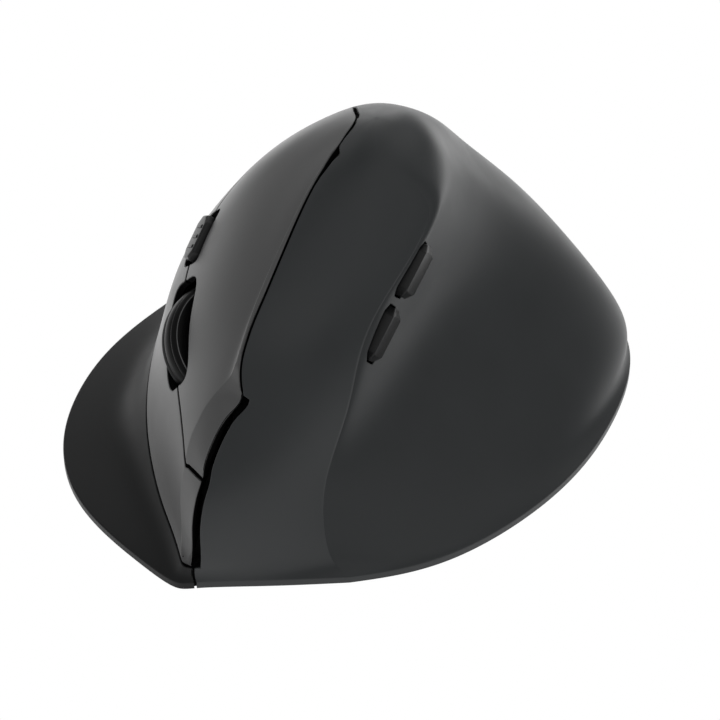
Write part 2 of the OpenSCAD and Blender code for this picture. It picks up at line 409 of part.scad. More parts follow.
module usb_receiver() {
  color("#1b1d1f") translate([0.3, -40.8, 1.1]) cube([12, 6.5, 4.6]);
  color("#b4b7ba") translate([0.3, -34.3, 1.15]) difference() { cube([12, 12, 4.5]); translate([0.6, 1, 0.6]) cube([10.8, 12, 3.3]); }
  color("#e8e8e4") translate([1.2, -34.3, 1.9]) cube([10.2, 11.4, 1.5]);
}
module receiver_bay() {
  color("#1d1f20") translate([-1.4, -41.4, top_plate]) difference() { cube([14.8, 20.6, 4.3]); translate([1.2, 0.6, -1]) cube([12.8, 19.2, 4.4]); }
}
module power_switch() {
  color("#141516") difference() { translate([15.6, -27.9, top_plate]) cube([8.8, 5.8, 3.6]); translate([16.6, -26.3, 0]) cube([6.8, 2.6, 4.8]); }
}
module power_slider() {
  color("#c9ccc9") { translate([17.2, -25.9, 0.75]) cube([3, 1.8, 3.7]); }
  color("#c9ccc9") for (k = [0:1]) translate([17.6+1.4*k, -25.8, 0.45]) cube([0.7, 1.6, 0.4]);
}

main_shell();
side_skirt();
primary_button();
secondary_button();
base_plate();
battery_door();
chassis();
wheel_hub();
wheel_tyre();
wheel_axle();
wheel_carrier();
wheel_encoder();
middle_switch();
main_switches();
button_board();
dpi_button();
dpi_switch();
thumb_forward_button();
thumb_back_button();
thumb_switches();
thumb_board();
thumb_bracket();
main_board();
radio_chip();
optical_sensor();
sensor_lens();
battery_tray();
battery_cell();
battery_spring();
battery_contact();
usb_receiver();
receiver_bay();
power_switch();
power_slider();
glide_feet();
case_screws();
board_cable();
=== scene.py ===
# Vertical computer mouse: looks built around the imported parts.  Lengths in the mesh code are millimetres.
import math

import bmesh
import bpy
import numpy as np
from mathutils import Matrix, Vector


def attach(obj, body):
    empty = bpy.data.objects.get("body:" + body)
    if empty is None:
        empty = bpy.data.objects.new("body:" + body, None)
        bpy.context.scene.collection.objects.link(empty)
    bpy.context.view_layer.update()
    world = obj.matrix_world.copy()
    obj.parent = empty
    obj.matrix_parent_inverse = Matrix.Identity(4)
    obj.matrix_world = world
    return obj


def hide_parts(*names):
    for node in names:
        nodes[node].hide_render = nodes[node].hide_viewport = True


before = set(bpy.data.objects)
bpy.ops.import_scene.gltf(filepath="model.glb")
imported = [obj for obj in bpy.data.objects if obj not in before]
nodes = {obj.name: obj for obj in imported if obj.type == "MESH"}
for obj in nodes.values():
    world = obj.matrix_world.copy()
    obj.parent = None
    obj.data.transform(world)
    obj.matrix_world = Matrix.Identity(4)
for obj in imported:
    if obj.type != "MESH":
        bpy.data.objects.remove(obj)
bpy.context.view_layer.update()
MM = 0.001

# ---------------------------------------------------------------- the outer surface
# sections at eight heights and the crown; the same surface as the solid parts have
HGT = [2.2, 4.2, 9, 19, 31, 43, 54, 61.5, 64.5]
CROWN = (-4.0, -2.0)
CROWN_ANG = [125, 92, 58, 50, 42, 30, 15, -2, -20, -40, -62, -85, -108, -130, -155, 180, 152]
PLAN = [
    [[-14.8, 41.8], [-3, 46.8], [8, 51.2], [12.8, 52.6], [21.5, 48.9], [36, 39.7], [46, 24], [48, 4], [43.2, -14.5], [33, -34], [14, -49.5], [-9, -52.7], [-30, -46.5], [-43.4, -33], [-46, -12.5], [-41.5, 9.5], [-29.5, 30.5]],
    [[-12, 41.5], [-1.8, 46.6], [8.8, 51], [12.5, 51.2], [18, 46.5], [29, 36.2], [38, 22.5], [41, 4], [38.5, -14], [29.5, -33], [13, -47.5], [-8, -52], [-29, -45.8], [-42.5, -32.8], [-44, -13], [-38, 10.5], [-26.5, 31.5]],
    [[-10.3, 41], [-1.2, 46.3], [8.9, 50.9], [11.6, 49.8], [15.8, 44.5], [25.3, 33], [33.3, 20], [36.4, 4.5], [34.5, -12], [27.5, -30], [13, -44.5], [-7.5, -50], [-27, -44.5], [-41.5, -33.5], [-42, -15], [-32, 9.5], [-19.5, 31.5]],
    [[-9.3, 37.8], [-0.8, 44.3], [9.2, 48.3], [11, 46.4], [14.5, 41.7], [22.5, 31], [29.8, 18.5], [32.8, 5], [31, -11], [25, -27.5], [12, -41], [-7, -46.5], [-24, -41.5], [-35, -32], [-34, -16], [-22.5, 6], [-13, 27.5]],
    [[-11, 31], [-2.8, 37.8], [6.5, 40.3], [8.6, 38.8], [12, 36], [19.5, 28], [26.3, 17], [29.8, 4.5], [28.3, -9], [22.5, -24], [10.5, -35], [-6.5, -40], [-18.5, -37], [-25, -29], [-25, -17], [-16.5, 2], [-12, 21.5]],
    [[-12.3, 22], [-4.2, 28.5], [5.2, 31.5], [6.6, 30.3], [9, 28], [14.5, 22.5], [20, 14], [23.3, 4], [21.8, -7.5], [16.5, -18.5], [7.5, -27], [-5.5, -31], [-13, -28], [-17, -21.5], [-18.6, -14], [-16.7, 0], [-14, 13.5]],
    [[-16.3, 7], [-8.5, 14], [2.6, 17.2], [4.2, 16.6], [6, 15.5], [9.5, 12], [12.6, 7], [14.5, 1], [13.2, -6], [9.5, -12.5], [4, -17.5], [-4.5, -20], [-10, -18.8], [-12.8, -14.3], [-15, -9.2], [-16.3, -3.5], [-17, 2]],
    [[CROWN[0] + 8 * math.cos(math.radians(a)), CROWN[1] + (10 if a > 0 else 9) * math.sin(math.radians(a))] for a in CROWN_ANG],
    [list(CROWN) for a in CROWN_ANG],
]
EASE = [0, 0, 0, 0, 0, 0.15, 0.8, 1, 1]
MOVE = np.array([-1.05, 0.15, 0.0])
NC, NR = 17, 9
WK = [math.sqrt(3) * (-0.2679492) ** abs(k) for k in range(-9, 10)]


def control_net():
    s = np.array([[(p[0] + MOVE[0], p[1] + MOVE[1], HGT[j]) for p in PLAN[j]] for j in range(NR)], float)

    def open_end(row, i):
        if i < 0:
            return 2 * row[0] - row[-i % NC]
        if i > NC:
            return 2 * row[0] - row[(2 * NC - i) % NC]
        return row[i % NC]

    c = np.zeros((NR, NC + 3, 3))
    for j in range(NR):
        for a, i in enumerate(range(-1, NC + 2)):
            around = sum(WK[k + 9] * s[j][(i + k) % NC] for k in range(-9, 10))
            across = sum(WK[k + 9] * open_end(s[j], i + k) for k in range(-9, 10))
            c[j, a] = EASE[j] * around + (1 - EASE[j]) * across

    def end_row(j):
        if j < 0:
            return 2 * c[0] - c[-j]
        if j > NR - 1:
            b = c[2 * (NR - 1) - j]
            o = 2 * c[NR - 1] - b
            o[:, 2] = b[:, 2]
            return o
        return c[j]

    return np.array([sum(WK[k + 9] * end_row(j + k) for k in range(-7, 8)) for j in range(-1, NR + 1)])


NET = control_net()


def basis(t):
    return np.stack([(1 - t) ** 3, 3 * t**3 - 6 * t**2 + 4, -3 * t**3 + 3 * t**2 + 3 * t + 1, t**3], -1) / 6


def P(u, v):
    """Point of the surface at column u (0 to 17, round the body) and row v (0 rim, 8 crown)."""
    u, v = np.broadcast_arrays(np.asarray(u, float), np.asarray(v, float))
    w = np.mod(u, NC)
    iu = np.minimum(np.floor(w).astype(int), NC - 1)
    iv = np.clip(np.floor(v).astype(int), 0, NR - 2)
    bu, bv = basis(w - iu), basis(v - iv)
    out = np.zeros(u.shape + (3,))
    for a in range(4):
        for b in range(4):
            out += (bv[..., a] * bu[..., b])[..., None] * NET[iv + a, iu + b]
    return out


def unit(a):
    return a / np.maximum(np.linalg.norm(a, axis=-1, keepdims=True), 1e-12)


def normal(u, v, e=2e-3):
    u, v = np.broadcast_arrays(np.asarray(u, float), np.asarray(v, float))
    vv = np.clip(v, e, 8 - 2 * e)
    n = unit(np.cross(P(u, vv + e) - P(u, vv - e), P(u + e, vv) - P(u - e, vv)))
    k = np.clip((v - 7.93) / 0.06, 0, 1)[..., None]
    return unit(n * (1 - k) + np.array([0.05, 0.05, 1.0]) * k)


def table(t, x):
    """Smooth curve through a table of pairs."""
    t = np.array(t, float)
    X, Y = t[:, 0], t[:, 1]
    x = np.asarray(x, float)
    h = np.diff(X)
    s = np.diff(Y) / h
    d = np.empty(len(X))
    d[0], d[-1] = s[0], s[-1]
    d[1:-1] = (s[:-1] * h[1:] + s[1:] * h[:-1]) / (h[1:] + h[:-1])
    i = np.clip(np.searchsorted(X, x, side="right") - 1, 0, len(X) - 2)
    q = np.clip((x - X[i]) / h[i], 0, 1)
    return (2 * q**3 - 3 * q**2 + 1) * Y[i] + (q**3 - 2 * q**2 + q) * h[i] * d[i] + (3 * q**2 - 2 * q**3) * Y[i + 1] + (q**3 - q**2) * h[i] * d[i + 1]


SEAM, FRONT_SLOT, WALL = 0.36, 1.3, 2.0
SLOT_HALF, SLOT_LEN = 3.5, 9.7
STRIP_T = [[0, 2.2], [1.25, 2.14], [2.4, 2.08], [2.9, 2.03], [3.2, 2.03], [3.4, 2.14], [3.6, 2.18], [3.9, 2.08], [4.2, 1.82], [4.3, 1.89], [4.4, 1.98], [4.65, 2.15], [4.9, 2.17], [5.35, 2.12], [5.7, 2.16], [6, 2.22], [6.35, 2.28], [6.7, 2.3]]
SKIRT_T = [[2, 1.25], [3, 1.42], [3.9, 1.66], [4.4, 1.8], [5.2, 2.18], [5.7, 2.45], [6.3, 2.8], [7, 3.25], [8, 3.9], [9.3, 4.7]]
SPLIT_T = [[2, 3.2], [2.8, 3.13], [3.55, 3.06], [3.97, 3.03], [4.27, 3.21], [4.53, 3.37], [4.88, 3.57], [5.4, 3.92], [5.88, 4.3], [6.25, 4.5], [6.85, 5], [7.22, 5.35], [7.8, 5.75], [8.4, 6], [9.3, 6.2]]
FACET_T = [[1.2, 2.3], [1.6, 3.1], [2.1, 3.5], [2.4, 3.78], [2.8, 3.93], [3.1, 4], [3.4, 4.03], [3.6, 3.98], [3.86, 3.88], [4.14, 3.58], [4.4, 3], [4.65, 2.3], [5, 2]]
LID0, LID1, LID_U, REAR_U = 6.7, 7.56, 6.2, 9.2
GV = SEAM / 12


def lid(v):
    s = np.clip((v - LID0) / (LID1 - LID0), 0, 1)
    return np.sqrt(np.maximum(0, 1 - s * s))


def uQ(v):
    v = np.asarray(v, float)
    return np.where(v < LID0, table(STRIP_T, np.minimum(v, LID0)), LID_U - (LID_U - 2.3) * lid(v))


def uR(v):
    return LID_U + (REAR_U - LID_U) * lid(np.asarray(v, float))


def per_mm(u, v, d):
    return 0.1 / np.maximum(np.linalg.norm(P(u + d, v) - P(u, v), axis=-1), 1e-6)


def PB(u, v):
    """Surface of the two main buttons: flat between their front edge and the facet's crease."""
    u, v = np.broadcast_arrays(np.asarray(u, float), np.asarray(v, float))
    a, c = table(STRIP_T, np.clip(v, 1.21, 4.9)), table(FACET_T, np.clip(v, 1.21, 4.9))
    on = (v > 1.21) & (v < 4.9) & (u > a) & (u < c) & (c > a + 0.1)
    push = 0.6 * np.clip((c - a) / 1.2, 0, 1) * np.clip((v - 1.6) / 0.5, 0, 1)
    A, C = P(a, v) - push[..., None] * normal(a, v), P(c, v)
    k = np.clip((u - a) / np.maximum(c - a, 0.1), 0, 1)[..., None]
    return np.where(on[..., None], A + (C - A) * k, P(u, v))


def reach(u, v, g, d):
    return d * g / np.maximum(np.linalg.norm(P(u - d, v) - P(u, v), axis=-1), 1e-6)


def slot_u(v):
    v = np.asarray(v, float)
    u = uQ(v)
    seam = SEAM * (1 + 0.6 * np.clip(np.minimum((v - 6.5) / 0.3, (7.6 - v) / 0.3), 0, 1))
    front = np.clip((v - 1.23) / 0.04, 0, 1) * np.clip((4.25 - v) / 0.04, 0, 1)
    g = seam + (FRONT_SLOT - seam) * front
    return reach(u, v, g, reach(u, v, g, reach(u, v, g, 0.1)))


def uB(v):
    v = np.asarray(v, float)
    return uQ(v) + 0.6 * np.clip(np.minimum((v - 1.3) / 0.12, (4.28 - v) / 0.1), 0, 1) * per_mm(uQ(v), v, 0.1)


def rear_gap(v):
    v = np.asarray(v, float)
    return SEAM * per_mm(uR(v), v, 0.1)


def half_gap(u, v):
    return SEAM * 0.065 / np.maximum(np.linalg.norm(P(u, v + 0.05) - P(u, v - 0.05), axis=-1), 1e-6)


def set_back(v):
    return 1.7 * GV * np.clip((v - 6.85) / 0.35, 0, 1)


def hole(u):
    a = (u - 5.455) / (SLOT_LEN / 16.3)
    b = (u - 6.58) / 0.32
    ha = np.where(np.abs(a) < 1, SLOT_HALF / 10.4 * np.maximum(0, 1 - np.abs(a) ** 4) ** 0.25, 0)
    hb = np.where(np.abs(b) < 1, 0.2 * np.maximum(0, 1 - np.abs(b) ** 8) ** 0.3, 0)
    base = GV * (1 - 0.4 * np.clip((u - 3.8) / 0.4, 0, 1))
    return np.maximum(base, np.maximum(ha, hb))


def lean(u):
    return 0.62 + 0.2 * np.clip((u - 6.05) / 0.21, 0, 1)


def band(u, h):
    return np.maximum(h, 0.42 * np.clip(np.minimum((u - 2.5) / 1.5, (9.18 - u) / 0.9), 0, 1))


def split_u(t):
    return 2.12 + (REAR_U - 0.02 - 2.12) * np.asarray(t, float)


def rim(t):
    t = np.asarray(t, float)
    va = 3.36 + (LID1 - 0.001 - 3.36) * (1 - np.maximum(0, 1 - t / 0.86) ** 1.25)
    vb = (LID1 - 0.001) + (6.24 - (LID1 - 0.001)) * (t - 0.86) / 0.14
    v = np.where(t < 0.86, va, vb)
    u = np.where(t < 0.86, uB(va), uR(vb) - 0.02)
    return u, v - set_back(v)


def shell_edge(v):
    """Column where the shell ends beside the primary button: at the crown it follows that button's rounded corner."""
    base = uQ(v) - slot_u(v)
    u, w = rim(np.linspace(0.56, 0.859, 500))
    uc, slope = np.interp(v, w, u), np.interp(v, w, np.gradient(u) / np.gradient(w))
    mu = np.linalg.norm(P(uc + 0.02, v) - P(uc - 0.02, v), axis=-1) / 0.04
    mv_ = np.linalg.norm(P(uc, v + 0.02) - P(uc, v - 0.02), axis=-1) / 0.04
    off = 0.5 * np.sqrt(1 + (slope * mu / mv_) ** 2) / mu
    k = np.clip((v - 6.65) / 0.2, 0, 1) * np.clip((7.5 - v) / 0.06, 0, 1)
    return base + (uc - off - base) * k


def prim(t, s):
    u = split_u(t)
    h = hole(u)
    g = band(u, h)
    y = table(SPLIT_T, u)
    ln = lean(u)
    ru, rv = rim(t)
    k = np.clip(s * 4, 0, 1)
    q = np.clip((s - 0.25) / 0.75, 0, 1)
    a, b = u - ln * (h + (g - h) * k), y + h + (g - h) * k
    return a + (ru - a) * q, b + (rv - b) * q


def sec(t, s):
    u = split_u(t)
    h = hole(u)
    h = np.where((u > 4.8) & (u < 6.1), np.maximum(0.6 * GV, h * 0.91), h)
    g = band(u, h)
    y = table(SPLIT_T, u)
    ln = lean(u)
    sk = table(SKIRT_T, u)
    lo = sk + half_gap(u, sk) + 0.02 * (1 - t) ** 6
    q, k = np.clip(s / 0.75, 0, 1), np.clip(s * 4 - 3, 0, 1)
    f = np.maximum(0, 1 - 8 * t)
    du = ln * g * q + ln * (h - g) * k
    v = lo + (y - g - lo) * q + (g - h) * k
    w = (1 - t) + (f - (1 - t)) * q
    return u + du + w * (uQ(v) - 2.12) + f * (uB(v) - uQ(v)), v


# ---------------------------------------------------------------- local frames (origin; columns are x', y', z')
def euler(x, y, z):
    x, y, z = map(math.radians, (x, y, z))
    rx = np.array([[1, 0, 0], [0, math.cos(x), -math.sin(x)], [0, math.sin(x), math.cos(x)]])
    ry = np.array([[math.cos(y), 0, math.sin(y)], [0, 1, 0], [-math.sin(y), 0, math.cos(y)]])
    rz = np.array([[math.cos(z), -math.sin(z), 0], [math.sin(z), math.cos(z), 0], [0, 0, 1]])
    return rz @ ry @ rx


WHEEL = (np.array([15, 20, 26.5]), euler(0, 43, 149) @ euler(0, 0, 147))
DPI = (np.array([23.2, 9.5, 39.8]), euler(0, 55, 134) @ euler(0, 0, 139))
THUMB = (np.array([-14.5, 17.45, 43.35]), euler(0, 141, 268) @ euler(0, 0, 192) @ euler(0, 4, 0))


def out_of(f, p):
    return f[0] + np.asarray(p, float) @ f[1].T


# ---------------------------------------------------------------- mesh helpers
def make(name, verts, faces, mat, body, replaces=(), sharp=None, normals=None, shown=None):
    me = bpy.data.meshes.new(name)
    me.from_pydata((np.asarray(verts, float) * MM).tolist(), [], [tuple(int(i) for i in f) for f in faces])
    me.update()
    me.polygons.foreach_set("use_smooth", [True] * len(me.polygons))
    if sharp:
        me.set_sharp_from_angle(angle=math.radians(sharp))
    if normals is not None:
        me.normals_split_custom_set_from_vertices(unit(np.asarray(normals, float)).tolist())
    ob = bpy.data.objects.new(name, me)
    bpy.context.scene.collection.objects.link(ob)
    for m in mat if isinstance(mat, (list, tuple)) else [mat]:
        me.materials.append(m)
    # faces from shown on are the walls down into the seams; they take the second material, which is painted shade
    if shown is not None:
        index = np.zeros(len(me.polygons), np.int32)
        index[shown:] = 1
        me.polygons.foreach_set("material_index", index)
    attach(ob, body)
    if replaces:
        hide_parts(*replaces)
    return ob


def grid_faces(n, m, wrap=False, flip=False, base=0):
    out = []
    for i in range(n if wrap else n - 1):
        a, b = i * m, ((i + 1) % n) * m
        for j in range(m - 1):
            f = (base + a + j, base + b + j, base + b + j + 1, base + a + j + 1)
            out.append(f[::-1] if flip else f)
    return out


def loops_of(faces):
    """Boundary loops, each directed as its faces are."""
    seen = {}
    for f in faces:
        for a, b in zip(f, f[1:] + f[:1]):
            seen[(a, b)] = True
    nxt = {a: b for (a, b) in seen if (b, a) not in seen}
    out = []
    while nxt:
        a = next(iter(nxt))
        loop = [a]
        b = nxt.pop(a)
        while b != a and b in nxt:
            loop.append(b)
            b = nxt.pop(b)
        out.append(loop)
    return out


def panel(verts, normals, faces, r=0.3, wall=WALL, steps=4, lip=1.2, along=None):
    """Turns a sheet into a moulded panel: its border is rounded, then goes down through the wall and a little way back under it.
    Returns vertices, normals, faces and the number of faces that show outside. The border sits where the sheet's border was."""
    V, N = np.array(verts, float), np.asarray(normals, float)
    G = N if along is None else np.asarray(along, float)
    vs, ns = [V], [N.copy()]
    fs, walls = list(faces), []
    count = len(V)
    for loop in loops_of([tuple(f) for f in faces]):
        L = np.array(loop)
        p, n, look = V[L].copy(), G[L], N[L]
        d1, d2 = unit(p - np.roll(p, 1, 0)), unit(np.roll(p, -1, 0) - p)
        T = unit(np.cross(unit(d1 + d2), n))
        miter = 1 / np.clip(np.sqrt((1 + (d1 * d2).sum(-1)) / 2), 0.6, 1)[:, None]
        rr = np.full((len(p), 1), r)
        T2 = T * miter
        V[L] = p - rr * T2
        prev = L
        rings = []
        for k in range(1, steps + 1):
            a = k / steps * math.pi / 2
            rings.append((p - rr * T2 + rr * (math.sin(a) * T2 - (1 - math.cos(a)) * n), unit(math.cos(a) * look + math.sin(a) * T)))
        # the wall starts on vertices of its own, so that its look and direction change sharply there
        # these wall faces are coloured with the painted seam shade in make
        rings += [(rings[-1][0], T), (p - wall * n, T), (p - lip * T2 - wall * n, -n)]
        for q, (ring, nn) in enumerate(rings):
            vs.append(ring)
            ns.append(nn)
            cur = np.arange(count, count + len(L))
            count += len(L)
            if q != steps:
                for k in range(len(L)):
                    k2 = (k + 1) % len(L)
                    (fs if q < steps else walls).append((prev[k2], prev[k], cur[k], cur[k2]))
            prev = cur
    return np.concatenate(vs), np.concatenate(ns), fs + walls, len(fs)


def arc_even(fun, n, fine=6000, lo=0.0, hi=1.0):
    """Parameter values that space fun evenly along its length."""
    t = np.linspace(lo, hi, fine)
    p = fun(t)
    d = np.concatenate([[0], np.cumsum(np.linalg.norm(np.diff(p, axis=0), axis=1))])
    return np.interp(np.linspace(0, d[-1], n), d, t)


# ---------------------------------------------------------------- materials
def material(name):
    m = bpy.data.materials.new(name)
    m.use_nodes = True
    nt = m.node_tree
    bs = next(n for n in nt.nodes if n.type == "BSDF_PRINCIPLED")
    return m, nt, bs


def lin(h):
    return tuple(((c / 255 + 0.055) / 1.055) ** 2.4 if c / 255 > 0.04045 else c / 255 / 12.92 for c in (int(h[i : i + 2], 16) for i in (1, 3, 5)))


def plastic(name, base, rough=0.5, tint=0.12, grain=0.0004, depth=0.000012, gloss=0.5, coat=0.0, coat_rough=0.3, mottle=0.012, ior=1.5, speck=0.06):
    """Moulded plastic: faint colour variation, a fine spark-eroded grain, and roughness that varies a little."""
    m, nt, bs = material(name)
    N, Lk = nt.nodes, nt.links
    tc = N.new("ShaderNodeTexCoord")
    big = N.new("ShaderNodeTexNoise")
    big.inputs["Scale"].default_value = 1 / mottle
    big.inputs["Detail"].default_value = 4
    Lk.new(tc.outputs["Object"], big.inputs["Vector"])
    fine = N.new("ShaderNodeTexNoise")
    fine.inputs["Scale"].default_value = 1 / grain
    fine.inputs["Detail"].default_value = 2
    Lk.new(tc.outputs["Object"], fine.inputs["Vector"])
    cr = N.new("ShaderNodeValToRGB")
    b = np.array(base)
    cr.color_ramp.elements[0].position, cr.color_ramp.elements[1].position = 0.3, 0.7
    cr.color_ramp.elements[0].color = (*(b * (1 - tint)), 1)
    cr.color_ramp.elements[1].color = (*(b * (1 + tint)), 1)
    Lk.new(big.outputs["Fac"], cr.inputs["Fac"])
    mix = N.new("ShaderNodeMix")
    mix.data_type = "RGBA"
    mix.blend_type = "MULTIPLY"
    mix.inputs["Factor"].default_value = speck
    Lk.new(cr.outputs["Color"], mix.inputs[6])
    Lk.new(fine.outputs["Color"], mix.inputs[7])
    Lk.new(mix.outputs[2], bs.inputs["Base Color"])
    mr = N.new("ShaderNodeMapRange")
    mr.inputs["From Min"].default_value, mr.inputs["From Max"].default_value = 0.3, 0.7
    mr.inputs["To Min"].default_value, mr.inputs["To Max"].default_value = rough - 0.04, rough + 0.04
    Lk.new(big.outputs["Fac"], mr.inputs["Value"])
    Lk.new(mr.outputs["Result"], bs.inputs["Roughness"])
    bp = N.new("ShaderNodeBump")
    bp.inputs["Strength"].default_value = 0.35
    bp.inputs["Distance"].default_value = depth
    Lk.new(fine.outputs["Fac"], bp.inputs["Height"])
    Lk.new(bp.outputs["Normal"], bs.inputs["Normal"])
    bs.inputs["Specular IOR Level"].default_value = gloss
    bs.inputs["IOR"].default_value = ior
    if coat:
        bs.inputs["Coat Weight"].default_value = coat
        bs.inputs["Coat Roughness"].default_value = coat_rough
    return m


def metal(name, base, rough=0.3, stretch=(1, 1, 30), scale=0.0006):
    m, nt, bs = material(name)
    N, Lk = nt.nodes, nt.links
    tc = N.new("ShaderNodeTexCoord")
    mp = N.new("ShaderNodeMapping")
    mp.inputs["Scale"].default_value = stretch
    Lk.new(tc.outputs["Object"], mp.inputs["Vector"])
    nz = N.new("ShaderNodeTexNoise")
    nz.inputs["Scale"].default_value = 1 / scale / 10
    nz.inputs["Detail"].default_value = 5
    Lk.new(mp.outputs["Vector"], nz.inputs["Vector"])
    cr = N.new("ShaderNodeValToRGB")
    b = np.array(base)
    cr.color_ramp.elements[0].color = (*(b * 0.82), 1)
    cr.color_ramp.elements[1].color = (*np.minimum(b * 1.12, 1), 1)
    Lk.new(nz.outputs["Fac"], cr.inputs["Fac"])
    Lk.new(cr.outputs["Color"], bs.inputs["Base Color"])
    mr = N.new("ShaderNodeMapRange")
    mr.inputs["To Min"].default_value, mr.inputs["To Max"].default_value = rough * 0.7, rough * 1.3
    Lk.new(nz.outputs["Fac"], mr.inputs["Value"])
    Lk.new(mr.outputs["Result"], bs.inputs["Roughness"])
    bs.inputs["Metallic"].default_value = 1.0
    return m


def board_mat(name):
    """Printed board: green solder mask with copper tracks showing through it."""
    m, nt, bs = material(name)
    N, Lk = nt.nodes, nt.links
    tc = N.new("ShaderNodeTexCoord")
    br = N.new("ShaderNodeTexBrick")
    br.inputs["Scale"].default_value = 220
    br.inputs["Mortar Size"].default_value = 0.06
    br.inputs["Color1"].default_value = (0.012, 0.075, 0.035, 1)
    br.inputs["Color2"].default_value = (0.014, 0.09, 0.042, 1)
    br.inputs["Mortar"].default_value = (0.03, 0.16, 0.07, 1)
    Lk.new(tc.outputs["Object"], br.inputs["Vector"])
    Lk.new(br.outputs["Color"], bs.inputs["Base Color"])
    nz = N.new("ShaderNodeTexNoise")
    nz.inputs["Scale"].default_value = 900
    Lk.new(tc.outputs["Object"], nz.inputs["Vector"])
    mr = N.new("ShaderNodeMapRange")
    mr.inputs["To Min"].default_value, mr.inputs["To Max"].default_value = 0.22, 0.4
    Lk.new(nz.outputs["Fac"], mr.inputs["Value"])
    Lk.new(mr.outputs["Result"], bs.inputs["Roughness"])
    return m


SHELL = plastic("shell_plastic", (0.0132, 0.015, 0.016), rough=0.42, gloss=0.29, tint=0.05)
SKIRT = plastic("skirt_plastic", (0.005, 0.0053, 0.0055), rough=0.46, gloss=0.14, tint=0.05)
BUTTON = plastic("button_plastic", (0.038, 0.0382, 0.0384), rough=0.4, gloss=0.5, tint=0.04)
BASE = plastic("base_plastic", (0.014, 0.0145, 0.015), rough=0.62, grain=0.0007, depth=0.00004)
BLACK = plastic("inner_plastic", (0.006, 0.0062, 0.0064), rough=0.6, gloss=0.2)
KEY = plastic("key_plastic", (0.0028, 0.003, 0.0032), rough=0.38, gloss=0.24)
# painted shade: near-black colour for the walls down into the seams and the strips under them, standing in for the
# shade inside the seams
PAINTED_SEAM_SHADE = plastic("seam_painted_shade", (0.0012, 0.0012, 0.0013), rough=0.8, gloss=0.05, tint=0.1)
HUB = plastic("hub_plastic", (0.0018, 0.0019, 0.002), rough=0.5, gloss=0.04)
TYRE = plastic("tyre_rubber", (0.0022, 0.0023, 0.0024), rough=0.4, grain=0.0005, depth=0.00002, gloss=0.07)
# painted highlight: lighter, glossy colour for the thin rings on the tyre's edges, standing in for the light caught
# along those edges
TYRE_EDGE_HIGHLIGHT = plastic("tyre_edge_painted_highlight", (0.03, 0.031, 0.032), rough=0.25, gloss=0.6, tint=0.03)
SLICK = plastic("slick_pad", lin("#8d9092"), rough=0.28, tint=0.05, gloss=0.4)
NUB = plastic("pale_nub", lin("#c9ccc9"), rough=0.4, tint=0.04)
CHIP = plastic("component_plastic", lin("#1c1d20"), rough=0.45, tint=0.2)
ENCODER = plastic("encoder_plastic", lin("#2b2f52"), rough=0.4)
CABLE = plastic("ribbon_plastic", lin("#d9d7cc"), rough=0.45, tint=0.08)
SLEEVE = plastic("cell_sleeve", lin("#3d6a8c"), rough=0.25, tint=0.05, coat=0.5, coat_rough=0.1)
LENS = plastic("lens_clear", (0.75, 0.8, 0.83), rough=0.08, tint=0.02, depth=0.000001)
STEEL = metal("bright_steel", (0.5, 0.51, 0.52), 0.28)
NICKEL = metal("nickel_spring", (0.62, 0.62, 0.6), 0.22)
BOARD = board_mat("board_mask")

for names, mat in (
    (("chassis", "wheel_carrier", "thumb_bracket", "battery_tray", "receiver_bay"), BLACK),
    (("wheel_encoder",), ENCODER),
    (("middle_switch", "main_switches", "dpi_switch", "thumb_switches", "radio_chip", "optical_sensor", "power_switch", "usb_receiver"), CHIP),
    (("wheel_axle", "case_screws"), STEEL),
    (("battery_spring", "battery_contact"), NICKEL),
    (("button_board", "thumb_board", "main_board"), BOARD),
    (("sensor_lens",), LENS),
    (("battery_cell",), SLEEVE),
    (("board_cable",), CABLE),
    (("power_slider",), NUB),
    (("base_plate", "battery_door"), BASE),
    (("glide_feet",), SLICK),
    (("wheel_hub",), HUB),
):
    for n in names:
        me = nodes[n].data
        for i in range(len(me.materials)):
            me.materials[i] = mat
        if not len(me.materials):
            me.materials.append(mat)

# ---------------------------------------------------------------- outer shell
DESK = 0.7
Q = 1


def lip_rows(u, n_arc=5, a=0.05):
    """Rows of the rounded edge face under the surface's rim, from the bottom up: positions and outward directions."""
    A, c = P(u, a), P(u, 0.0)
    B = c.copy()
    B[..., 2] -= 0.3
    nA = normal(u, a)
    flat = nA.copy()
    flat[..., 2] = 0
    flat = unit(flat)
    rows, ns = [], []
    bottom = c.copy()
    bottom[..., 2] = DESK
    for k in (0.0, 0.35, 0.7):
        rows.append(bottom + (B - bottom) * k)
        ns.append(flat)
    for k in range(n_arc):
        t = k / n_arc
        rows.append((1 - t) ** 2 * B + 2 * t * (1 - t) * c + t * t * A)
        ns.append(unit(flat * (1 - t) + nA * t))
    return rows, ns


def key_outline(l, w):
    return [(-l / 2, -w / 2 + 1.2), (-l / 2 + 1.4, -w / 2), (l / 2 - 1.4, -w / 2), (l / 2, -w / 2 + 1.2), (l / 2, w / 2 - 1.2), (l / 2 - 1.4, w / 2), (-l / 2 + 1.4, w / 2), (-l / 2, w / 2 - 1.2)]


def dense(poly, step=0.12):
    """Points along a closed outline, corners kept."""
    out = []
    for a, b in zip(poly, poly[1:] + poly[:1]):
        a, b = np.array(a, float), np.array(b, float)
        n = max(1, int(np.linalg.norm(b - a) / step))
        out += [a + (b - a) * k / n for k in range(n)]
    return np.array(out)


def inside(poly, x, z):
    """True where the points lie in the convex outline given counter-clockwise."""
    ok = np.ones(np.shape(x), bool)
    for a, b in zip(poly, poly[1:] + poly[:1]):
        ok &= (b[0] - a[0]) * (z - a[1]) - (b[1] - a[1]) * (x - a[0]) > 0
    return ok


